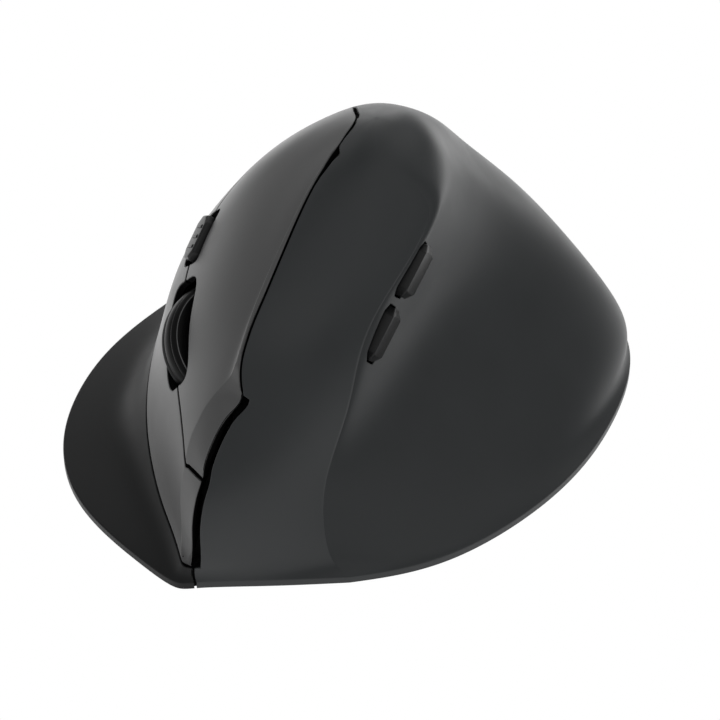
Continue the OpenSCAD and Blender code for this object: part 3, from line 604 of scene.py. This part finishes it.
def open_holes(verts, faces, uv, frame_, outlines):
    """Cuts outlines (x', z' in a local frame) out of a sheet: faces inside go, and the new border is drawn onto the outline."""
    F0, F1 = frame_
    loc = (verts - F0) @ F1
    near = np.abs(loc[:, 1]) < 6
    for poly in outlines:
        ins = inside(poly, loc[:, 0], loc[:, 2]) & near
        keep, gone = [], []
        for f in faces:
            (gone if any(ins[i] for i in f) else keep).append(f)
        ring = loops_of([tuple(f) for f in gone])[0][::-1]
        L = np.array(ring)
        path = dense(poly)
        cum = np.arange(len(path)) / len(path)
        q = np.array([cum[np.argmin(((path - loc[i][[0, 2]]) ** 2).sum(1))] for i in L])
        turn = (np.diff(q, append=q[0]) + 0.5) % 1 - 0.5
        way = 1 if turn.sum() > 0 else -1
        un = q[0] + np.concatenate([[0], np.cumsum((np.diff(q) + 0.5) % 1 - 0.5)])
        un = un * way
        a, b = np.maximum.accumulate(un), np.minimum.accumulate(un[::-1])[::-1]
        un = 0.5 * (a + b)
        even = un[0] + np.arange(len(L)) / len(L)
        un = (0.96 * un + 0.04 * even) * way
        tgt = np.stack([np.interp(np.mod(un, 1), np.append(cum, 1), np.append(path[:, k], path[0, k])) for k in (0, 1)], 1)
        u, v = uv[L, 0].copy(), uv[L, 1].copy()
        for _ in range(12):
            e = 1e-3
            X0 = (P(u, v) - F0) @ F1
            Ju, Jv = ((P(u + e, v) - F0) @ F1 - X0) / e, ((P(u, v + e) - F0) @ F1 - X0) / e
            r0, r1 = tgt[:, 0] - X0[:, 0], tgt[:, 1] - X0[:, 2]
            det = Ju[:, 0] * Jv[:, 2] - Jv[:, 0] * Ju[:, 2]
            u += np.clip((r0 * Jv[:, 2] - Jv[:, 0] * r1) / det, -0.05, 0.05)
            v += np.clip((Ju[:, 0] * r1 - r0 * Ju[:, 2]) / det, -0.05, 0.05)
        uv[L, 0], uv[L, 1] = u, v
        verts[L] = P(u, v)
        faces = keep
        loc = (verts - F0) @ F1
    return faces


SHOULDER = np.array([0.1, 0.35, 0.93])


def main_shell():
    n1, n2 = 44 // Q, 300 // Q
    cf = n1 / (n1 + n2)
    w = np.linspace(0, 1, n2 + 1)[1:]
    # columns are closer beside the crease and round the thumb keys
    w = w * (0.55 + 0.45 * w)
    s = np.concatenate([np.linspace(0, cf, n1 + 1), cf + (1 - cf) * w])
    vs = np.unique(np.concatenate([np.linspace(0.05, 4.2, 90 // Q), np.linspace(4.2, 6.6, 110 // Q), np.linspace(6.6, 7.3, 30 // Q), 7.3 + 0.26 * np.sin(np.linspace(0, math.pi / 2, 36 // Q)), np.linspace(7.56, 8, 20 // Q), [1.23, 1.27, 4.21, 4.25]]).round(5))
    join = int(np.argmin(np.abs(vs - LID1)))
    vs[join] = LID1

    low = np.arange(len(vs)) < join
    vq = np.minimum(vs, LID1 - 1e-4)
    a = np.where(low, shell_edge(vq), LID_U)
    b = np.where(low, uR(vq) + rear_gap(vq) - NC, LID_U - NC)
    S = s[:, None]
    U = np.where(S < cf, a[None] * (1 - S / cf), b[None] * (S - cf) / (1 - cf))
    V = np.broadcast_to(vs, U.shape)
    X = P(U, V)
    lr, ln = lip_rows(U[:, 0])
    off = len(lr)
    n, m = U.shape[0], U.shape[1] + off
    UV = np.stack([np.concatenate([np.repeat(U[:, :1], off, 1), U], 1), np.concatenate([np.full((n, off), -1.0), V], 1)], -1).reshape(-1, 2)
    join += off
    idx = np.arange(n * m).reshape(n, m)
    idx[n - 1, join:] = idx[0, join:]
    idx[:, m - 1] = idx[0, m - 1]
    faces = []
    for i in range(n - 1):
        for j in range(m - 1):
            g = []
            for q in (idx[i, j + 1], idx[i + 1, j + 1], idx[i + 1, j], idx[i, j]):
                if q not in g:
                    g.append(q)
            if len(g) > 2:
                faces.append(tuple(g))
    verts = np.concatenate([np.stack(lr, 1), X], 1).reshape(-1, 3)
    holes = [[(x + k * THUMB_PITCH / 2, z + THUMB_Z) for x, z in key_outline(THUMB_LEN + 0.7, 5.5)] for k in (-1, 1)]
    faces = open_holes(verts, faces, UV, THUMB, holes)
    on = UV[:, 1] >= 0
    norms = np.zeros_like(verts)
    norms[on] = normal(UV[on, 0], UV[on, 1])
    true = norms.copy()
    true[~on] = np.stack(ln, 1).reshape(-1, 3)
    # beside the crown the directions are evened out over a few millimetres
    near = on & (UV[:, 0] > 0.02) & (UV[:, 0] < 6.2) & (UV[:, 1] > 5.2) & (UV[:, 1] < 7.9)
    uu, vv = UV[near, 0], UV[near, 1]
    total = 0
    for du in (-0.7, -0.45, -0.2, 0, 0.2, 0.45, 0.7):
        for dv in (-0.6, -0.4, -0.2, 0, 0.2, 0.4, 0.6):
            total = total + math.exp(-(du * du + dv * dv) / 0.4) * normal(np.maximum(uu + du, 0.02), np.minimum(vv + dv, 7.98))
    k = (np.clip(uu / 0.6, 0, 1) * np.clip((vv - 5.2) / 0.8, 0, 1) * np.clip((7.9 - vv) / 0.3, 0, 1))[:, None]
    norms[near] = unit(norms[near] * (1 - k) + unit(total) * k)
    # over the crease the direction is averaged in a narrow band
    cu = np.mod(UV[:, 0] + 8.5, NC) - 8.5
    at = on & (np.abs(cu) < 1e-4)
    vv = UV[at, 1]
    k = np.clip((6.0 - vv) / 0.8, 0, 1)[:, None]
    norms[at] = unit(unit(normal(np.full_like(vv, 0.03), vv) + normal(np.full_like(vv, 16.97), vv)) * k + norms[at] * (1 - k))
    # the scoop starts with a rounded shoulder beside the crease
    d = -cu
    w = on * (d > 1e-4) * np.exp(-np.maximum(d, 0) / 0.8) * np.clip((6.6 - UV[:, 1]) / 1.2, 0, 1) * np.clip(UV[:, 1] / 0.6, 0, 1)
    norms = unit(norms + 1.0 * w[:, None] * SHOULDER)
    norms[~on] = np.stack(ln, 1).reshape(-1, 3)
    used = np.unique(np.array([q for f in faces for q in f]))
    remap = -np.ones(n * m, int)
    remap[used] = np.arange(len(used))
    faces = [tuple(int(remap[q]) for q in f) for f in faces]
    return verts[used], norms[used], true[used], faces


def orient(verts, norms, faces):
    """Turns all faces so that they look the way the normals do."""
    f = faces[len(faces) // 2]
    a, b, c = (verts[i] for i in f[:3])
    if np.cross(b - a, c - a) @ norms[f[0]] < 0:
        faces = [tuple(q[::-1]) for q in faces]
    return faces


THUMB_LEN, THUMB_OUT, THUMB_PITCH, THUMB_Z, DPI_LEN, DPI_OUT = 9.6, 1.6, 11.8, 2.9, 8.4, 1.2
mv, mn, mt, mf = main_shell()
mf = orient(mv, mn, mf)
v2, n2, f2, k2 = panel(mv, mn, mf, r=0.16, wall=1.3, along=mt)
make("shell_skin", v2, f2, [SHELL, PAINTED_SEAM_SHADE], "case", replaces=("main_shell",), normals=n2, shown=k2)


def skirt():
    n, m = 220 // Q, 60 // Q
    t = np.linspace(0, 1, n)[:, None]
    tu = 2.1 + (REAR_U - 2.1) * t**1.2
    sk = table(SKIRT_T, tu)
    top = sk - half_gap(tu, 1.5 + 3 * t)
    w = np.linspace(0, 1, m)[None]
    V = 0.05 + (top - 0.05) * w
    q = uQ(V)
    U = q + (REAR_U - q) * t**1.2
    X, N = P(U, V), normal(U, V)
    q0 = uQ(np.zeros(n))
    lr, ln = lip_rows(q0 + (REAR_U - q0) * t[:, 0] ** 1.2)
    X = np.concatenate([np.stack(lr, 1), X], 1)
    N = np.concatenate([np.stack(ln, 1), N], 1)
    n, m = X.shape[:2]
    v, nn = X.reshape(-1, 3), N.reshape(-1, 3)
    return v, nn, orient(v, nn, grid_faces(n, m))


sv, sn, sf = skirt()
v2, n2, f2, k2 = panel(sv, sn, sf, r=0.16, wall=1.3)
make("finger_skirt", v2, f2, [SKIRT, PAINTED_SEAM_SHADE], "case", replaces=("side_skirt",), normals=n2, shown=k2)


def facet_normal(U, V):
    """Directions on the buttons: true on either side of the facet's crease, turned over a narrow band at it."""
    n0 = normal(U, V)
    a, c = table(STRIP_T, np.clip(V, 1.21, 4.9)), table(FACET_T, np.clip(V, 1.21, 4.9))
    e = 0.02
    um = np.clip(U, a + e, np.maximum(c - e, a + e))
    vm = np.clip(V, 1.25, 4.6)
    flat = unit(np.cross(PB(um, vm + e) - PB(um, vm - e), PB(um + e, vm) - PB(um - e, vm)))
    flat = unit(flat + 0.3 * unit(PB(um - e, vm) - PB(um + e, vm)))
    w = np.clip((c - U) / 0.05 + 0.5, 0, 1) * np.clip((V - 1.21) / 0.05, 0, 1) * np.clip((4.62 - V) / 0.1, 0, 1) * (c > a + 0.12)
    return unit(n0 + (flat - n0) * w[..., None])


def button(fun, split_at, n=420, m=96):
    n, m = n // Q, m // Q
    # columns follow the split, with extra ones at the ends of the two openings
    t = arc_even(lambda x: P(*fun(x, np.full_like(x, float(split_at)))), n)
    w = np.linspace(0, 1, m)
    T, W_ = np.meshgrid(t, w, indexing="ij")
    U, V = fun(T, W_)
    X, N = PB(U, V), facet_normal(U, V)
    # narrow chamfer along the open slot at the front
    q = np.linspace(1.32, 4.22, 400)
    line = P(uB(q), q)
    F = X.reshape(-1, 3)
    D = F[:, None, :] - line[None]
    d = np.sqrt((D ** 2).sum(-1))
    k = d.argmin(1)
    d = d.min(1).reshape(X.shape[:2])
    out = unit(P(uB(q) - 0.05, q) - line)[k].reshape(X.shape)
    w = np.clip((0.78 - d) / 0.12, 0, 1)[..., None]
    N = unit(N + 0.75 * w * unit(out - (out * N).sum(-1, keepdims=True) * N))
    v, nn = X.reshape(-1, 3), N.reshape(-1, 3)
    return v, nn, normal(U, V).reshape(-1, 3), orient(v, nn, grid_faces(*X.shape[:2]))


for fun, at, nm, body, cad in ((prim, 0, "primary_cap", "primary_key", "primary_button"), (sec, 1, "secondary_cap", "secondary_key", "secondary_button")):
    pv, pn, pt, pf = button(fun, at)
    v2, n2, f2, k2 = panel(pv, pn, pf, r=0.13, wall=1.2, along=pt)
    make(nm, v2, f2, [BUTTON, PAINTED_SEAM_SHADE], body, replaces=(cad,), normals=n2, shown=k2)


def painted_shade_strips():
    """Near-black strips under the seams, so that no light comes through them; their colour is painted shade, standing
    in for the shade inside the seams.
    """
    verts, faces = [], []

    def strip(uv_a, uv_b, depth):
        base = len(verts)
        n = len(uv_a[0])
        for u, v in (uv_a, uv_b):
            row = P(u, v) - depth * normal(u, v)
            if v[0] == 0 and v[1] == 0:
                row[0] = row[1]
                row[0, 2] = 0.9
            verts.extend(list(row))
        faces.extend([(base + k, base + k + 1, base + n + k + 1, base + n + k) for k in range(n - 1)])

    v = np.concatenate([[0.0], np.linspace(0.0, 1.05, 22)])
    strip((uQ(v) - slot_u(v) - 0.03, v), (uQ(v) + 0.03, v), 0.5)
    v = np.linspace(1.1, 6.6, 110)
    strip((uQ(v) - slot_u(v) - 0.1, v), (uQ(v) + 0.25, v), 3.2)
    u = np.linspace(2.15, 4.3, 40)
    y = table(SPLIT_T, u)
    strip((u, y - 0.22), (u, y + 0.22), 3.0)
    u = np.linspace(2.15, 9.1, 90)
    y = table(SKIRT_T, u)
    strip((u, y - 0.12), (u, y + 0.12), 2.3)
    return verts, faces


lv, lf = painted_shade_strips()
# the near-black strips under the seams: painted shade
make("seam_painted_shade_strips", lv, lf, PAINTED_SEAM_SHADE, "case")

# ---------------------------------------------------------------- keys, wheel and feet
def block(name, pts, r, mat, body, frame_, replaces=(), at=(0, 0, 0), segments=3, also=(), steps=2):
    """Convex blocks from their corner points in a local frame, edges rounded; the first is joined by the ones in also."""
    verts, faces = [], []
    for corners, rad in [(pts, r)] + list(also):
        bm = bmesh.new()
        for q in corners:
            bm.verts.new([float(c) for c in out_of(frame_, np.array(q, float) + np.array(at, float))])
        bmesh.ops.convex_hull(bm, input=bm.verts)
        bmesh.ops.dissolve_limit(bm, angle_limit=0.02, verts=bm.verts, edges=bm.edges)
        bmesh.ops.bevel(bm, geom=list(bm.edges), offset=rad, segments=segments, profile=0.6, affect="EDGES", clamp_overlap=True)
        bmesh.ops.recalc_face_normals(bm, faces=bm.faces)
        bm.verts.ensure_lookup_table()
        base = len(verts)
        verts += [tuple(v.co) for v in bm.verts]
        faces += [tuple(base + v.index for v in f.verts) for f in bm.faces]
        bm.free()
    return make(name, verts, faces, mat, body, replaces=replaces, sharp=32)


def lathe(name, profile, mat, body, centre, frame_, n=160, replaces=(), rib=None):
    """Turned piece: profile of (radius, height along z') round the z' axis through centre."""
    n = n // Q
    a = np.linspace(0, 2 * math.pi, n, endpoint=False)
    rz = np.array(profile, float)
    R = np.repeat(rz[None, :, 0], n, 0)
    if rib:
        count, depth, r0 = rib
        R = R - depth * (0.5 - 0.5 * np.cos(a * count))[:, None] * np.clip((R - r0) / 0.3, 0, 1)
    X = np.stack([centre[0] + R * np.cos(a)[:, None], centre[1] + R * np.sin(a)[:, None], np.repeat(centre[2] + rz[None, :, 1], n, 0)], -1)
    v = out_of(frame_, X.reshape(-1, 3))
    f = grid_faces(n, len(rz), wrap=True)
    c = v.mean(0)
    k = f[len(f) // 2]
    d = np.cross(v[k[1]] - v[k[0]], v[k[2]] - v[k[0]])
    if d @ (v[k[0]] - c) < 0:
        f = [q[::-1] for q in f]
    return make(name, v, f, mat, body, replaces=replaces, sharp=38)


def arc_pts(cx, cy, r, a0, a1, n):
    return [(cx + r * math.cos(math.radians(a0 + (a1 - a0) * k / n)), cy + r * math.sin(math.radians(a0 + (a1 - a0) * k / n))) for k in range(n + 1)]


def both(p):
    return list(p) + [(-x, y, z) for x, y, z in p]


for sgn, nm, body, cad in ((-1, "thumb_cap_forward", "thumb_forward_key", "thumb_forward_button"), (1, "thumb_cap_back", "thumb_back_key", "thumb_back_button")):
    L = THUMB_LEN / 2
    corners = []
    for z in (-1, 1):
        corners += both([(L, -3.1, z * 1.2), (L - 1.4, -3.1, z * 2.4), (L, THUMB_OUT - 0.75, z * 1.2), (L - 1.4, THUMB_OUT, z * 2.38), (L - 1.1, THUMB_OUT, z * 1.2)])
    stem = [(x, y, z) for x in (-1.2, 1.2) for y in (-3.8, -2.8) for z in (-1.2, 1.2)]
    block(nm, corners, 0.14, KEY, body, THUMB, replaces=(cad,), at=(sgn * THUMB_PITCH / 2, 0, THUMB_Z), also=[(stem, 0.1)])

L = DPI_LEN / 2
corners = []
for x, z in key_outline(DPI_LEN, 4.8):
    corners += [(x, -3.1, z), (x, DPI_OUT - 0.55, z), (x - math.copysign(0.35, x), DPI_OUT - 0.18, z * 0.86)]
bars = [([(x + a, y, z) for a in (-0.32, 0.32) for y in (0.6, DPI_OUT - 0.01) for z in (-1.35, 1.35)], 0.12) for x in (-1.9, 0.0, 1.9)]
stem = [(17.6 + a, y, 1.4 + b) for a in (-0.7, 0.7) for y in (-2.2, 4.2) for b in (-0.7, 0.7)]
block("sensitivity_cap", corners, 0.16, KEY, "dpi_key", DPI, replaces=("dpi_button",), at=(0.45, 0, 0.1), also=bars)
block("sensitivity_stem", stem, 0.15, KEY, "dpi_key", WHEEL)

AXIS = (0.7, -0.4, 0.0)
half = [(8.85, 2.98), (9.9, 2.98), (10.1, 2.93), (10.28, 2.78)]
prof = half + arc_pts(9.9, 1.85, 0.98, 66, 12, 8) + arc_pts(8.0, 0.0, 3.0, 28, 4, 5)
prof = [(min(r, 11.0), h) for r, h in prof]
prof = prof + [(r, -h) for r, h in reversed(prof)]
lathe("tyre_band", prof, TYRE, "wheel", AXIS, WHEEL, n=320, replaces=("wheel_tyre",))
# thin rings in that lighter colour on both edges of the tyre: a painted highlight
for sgn in (-1, 1):
    ring = [(10.0, sgn * 2.955), (10.03, sgn * 2.985), (10.12, sgn * 2.95), (10.16, sgn * 2.88)]
    lathe("tyre_edge_highlight_%s" % ("a" if sgn < 0 else "b"), ring, TYRE_EDGE_HIGHLIGHT, "wheel", AXIS, WHEEL, n=240)
hub = [(1.15, -2.1), (2.8, -2.15), (3.1, -2.9), (3.3, -2.98), (3.5, -2.9), (3.8, -2.6), (6.6, -2.6), (6.9, -2.9), (7.1, -2.98), (8.7, -2.98), (8.79, -2.9)]
hub = hub + [(r, -h) for r, h in reversed(hub)]
lathe("hub_disc", hub, HUB, "wheel", AXIS, WHEEL, n=160, replaces=("wheel_hub",))


def feet():
    verts, faces = [], []
    for x, y, a, l in ((1, 37.5, 20, 9), (33, 3, 92, 12), (-31.5, -24, 78, 12), (18.5, -35, 35, 8)):
        ring = [(l / 2 + 2.5 * math.cos(b), 2.5 * math.sin(b)) for b in np.linspace(-math.pi / 2, math.pi / 2, 17)]
        ring += [(-px, -py) for px, py in ring]
        d = [(math.cos(b), math.sin(b)) for b in np.linspace(-math.pi / 2, math.pi / 2, 17)]
        d += [(-dx, -dy) for dx, dy in d]
        ca, sa = math.cos(math.radians(a)), math.sin(math.radians(a))
        base = len(verts)
        m = len(ring)
        for z, k in ((0.69, 0.02), (0.3, 0.0), (0.12, 0.02), (0.04, 0.1), (0.0, 0.24)):
            for (px, py), (dx, dy) in zip(ring, d):
                qx, qy = px - dx * k, py - dy * k
                verts.append((x + ca * qx - sa * qy, y + sa * qx + ca * qy, z))
        for j in range(4):
            for i in range(m):
                faces.append((base + j * m + i, base + (j + 1) * m + i, base + (j + 1) * m + (i + 1) % m, base + j * m + (i + 1) % m))
        faces.append(tuple(base + i for i in range(m)))
        faces.append(tuple(base + 4 * m + i for i in reversed(range(m))))
    return verts, faces


fv, ff = feet()
make("glide_pads", fv, ff, SLICK, "case", replaces=("glide_feet",), sharp=35)

# ---------------------------------------------------------------- stage, lights and camera
def plane(name, size, z, mat):
    me = bpy.data.meshes.new(name)
    me.from_pydata([(-size, -size, z), (size, -size, z), (size, size, z), (-size, size, z)], [], [(0, 1, 2, 3)])
    me.materials.append(mat)
    ob = bpy.data.objects.new(name, me)
    bpy.context.scene.collection.objects.link(ob)
    return ob


def pale(nt, first, white):
    """What the camera sees directly is pale studio white; the light that reaches the object is the softer one."""
    lp = nt.nodes.new("ShaderNodeLightPath")
    mx = nt.nodes.new("ShaderNodeMixShader")
    out = next(n for n in nt.nodes if n.type in ("OUTPUT_MATERIAL", "OUTPUT_WORLD"))
    nt.links.new(lp.outputs["Is Camera Ray"], mx.inputs[0])
    nt.links.new(first.outputs[0], mx.inputs[1])
    nt.links.new(white.outputs[0], mx.inputs[2])
    nt.links.new(mx.outputs[0], out.inputs["Surface"])


FILL = 0.5
fm, nt, bs = material("pale_floor")
bs.inputs["Base Color"].default_value = (0.85, 0.85, 0.85, 1)
bs.inputs["Roughness"].default_value = 0.9
bs.inputs["Emission Color"].default_value = (1, 1, 1, 1)
bs.inputs["Emission Strength"].default_value = FILL * 1.5
em = nt.nodes.new("ShaderNodeEmission")
em.inputs["Color"].default_value = (1, 1, 1, 1)
em.inputs["Strength"].default_value = 1.0
pale(nt, bs, em)
plane("floor", 6.0, 0.0, fm)

scene = bpy.context.scene
scene.view_settings.view_transform = "Standard"
world = bpy.data.worlds.new("studio")
scene.world = world
world.use_nodes = True
bg = next(n for n in world.node_tree.nodes if n.type == "BACKGROUND")
bg.inputs["Color"].default_value = (1, 1, 1, 1)
bg.inputs["Strength"].default_value = FILL
bw = world.node_tree.nodes.new("ShaderNodeBackground")
bw.inputs["Color"].default_value = (1, 1, 1, 1)
bw.inputs["Strength"].default_value = 1.0
pale(world.node_tree, bg, bw)

TARGET = Vector((-6.2, 16.15, 30.0)) * MM
BACK = Vector((-0.262, 0.720, 0.643)).normalized()
RIGHT = Vector((0, 0, 1)).cross(BACK).normalized()
UP = BACK.cross(RIGHT)


def softbox(name, side, up, back, size, power, aim=(0, 0, 30), spread=None):
    """A soft box placed from the camera's point of view: side to its right, up above it, back towards it, in millimetres."""
    pos = TARGET + (RIGHT * side + UP * up + BACK * back) * MM
    ld = bpy.data.lights.new(name, "AREA")
    ld.shape = "RECTANGLE"
    ld.size, ld.size_y = size[0] * MM, size[1] * MM
    ld.energy = power
    if spread:
        ld.spread = math.radians(spread)
    ob = bpy.data.objects.new(name, ld)
    bpy.context.scene.collection.objects.link(ob)
    ob.location = pos
    d = Vector(aim) * MM - pos
    ob.rotation_euler = d.to_track_quat("-Z", "Y").to_euler()
    return ob


softbox("top_back_box", 0, 480, -260, (300, 300), 0.82)
softbox("front_box", 0, 120, 600, (400, 400), 0.4)
softbox("right_high_box", 300, 420, 60, (300, 300), 0.27)
softbox("front_right_box", 350, 100, 420, (300, 300), 0.18)
softbox("left_high_box", -300, 420, 60, (300, 300), 0.25)
softbox("top_box", 0, 520, 60, (300, 300), 0.13)
softbox("near_box", 200, 330, 360, (300, 300), 0.15)
softbox("left_front_box", -350, 100, 420, (300, 300), 0.15)

cam_data = bpy.data.cameras.new("camera")
cam = bpy.data.objects.new("camera", cam_data)
bpy.context.scene.collection.objects.link(cam)
cam_data.sensor_width = 36
cam_data.lens = 2478 / 720 * 36
cam_data.clip_start, cam_data.clip_end = 0.01, 20
pos = TARGET + BACK * 0.420
cam.location = pos
aim = TARGET + RIGHT * (13 / 2478 * 0.420) - UP * (15 / 2478 * 0.420)
cam.rotation_euler = (aim - pos).to_track_quat("-Z", "Y").to_euler()
bpy.context.scene.camera = cam
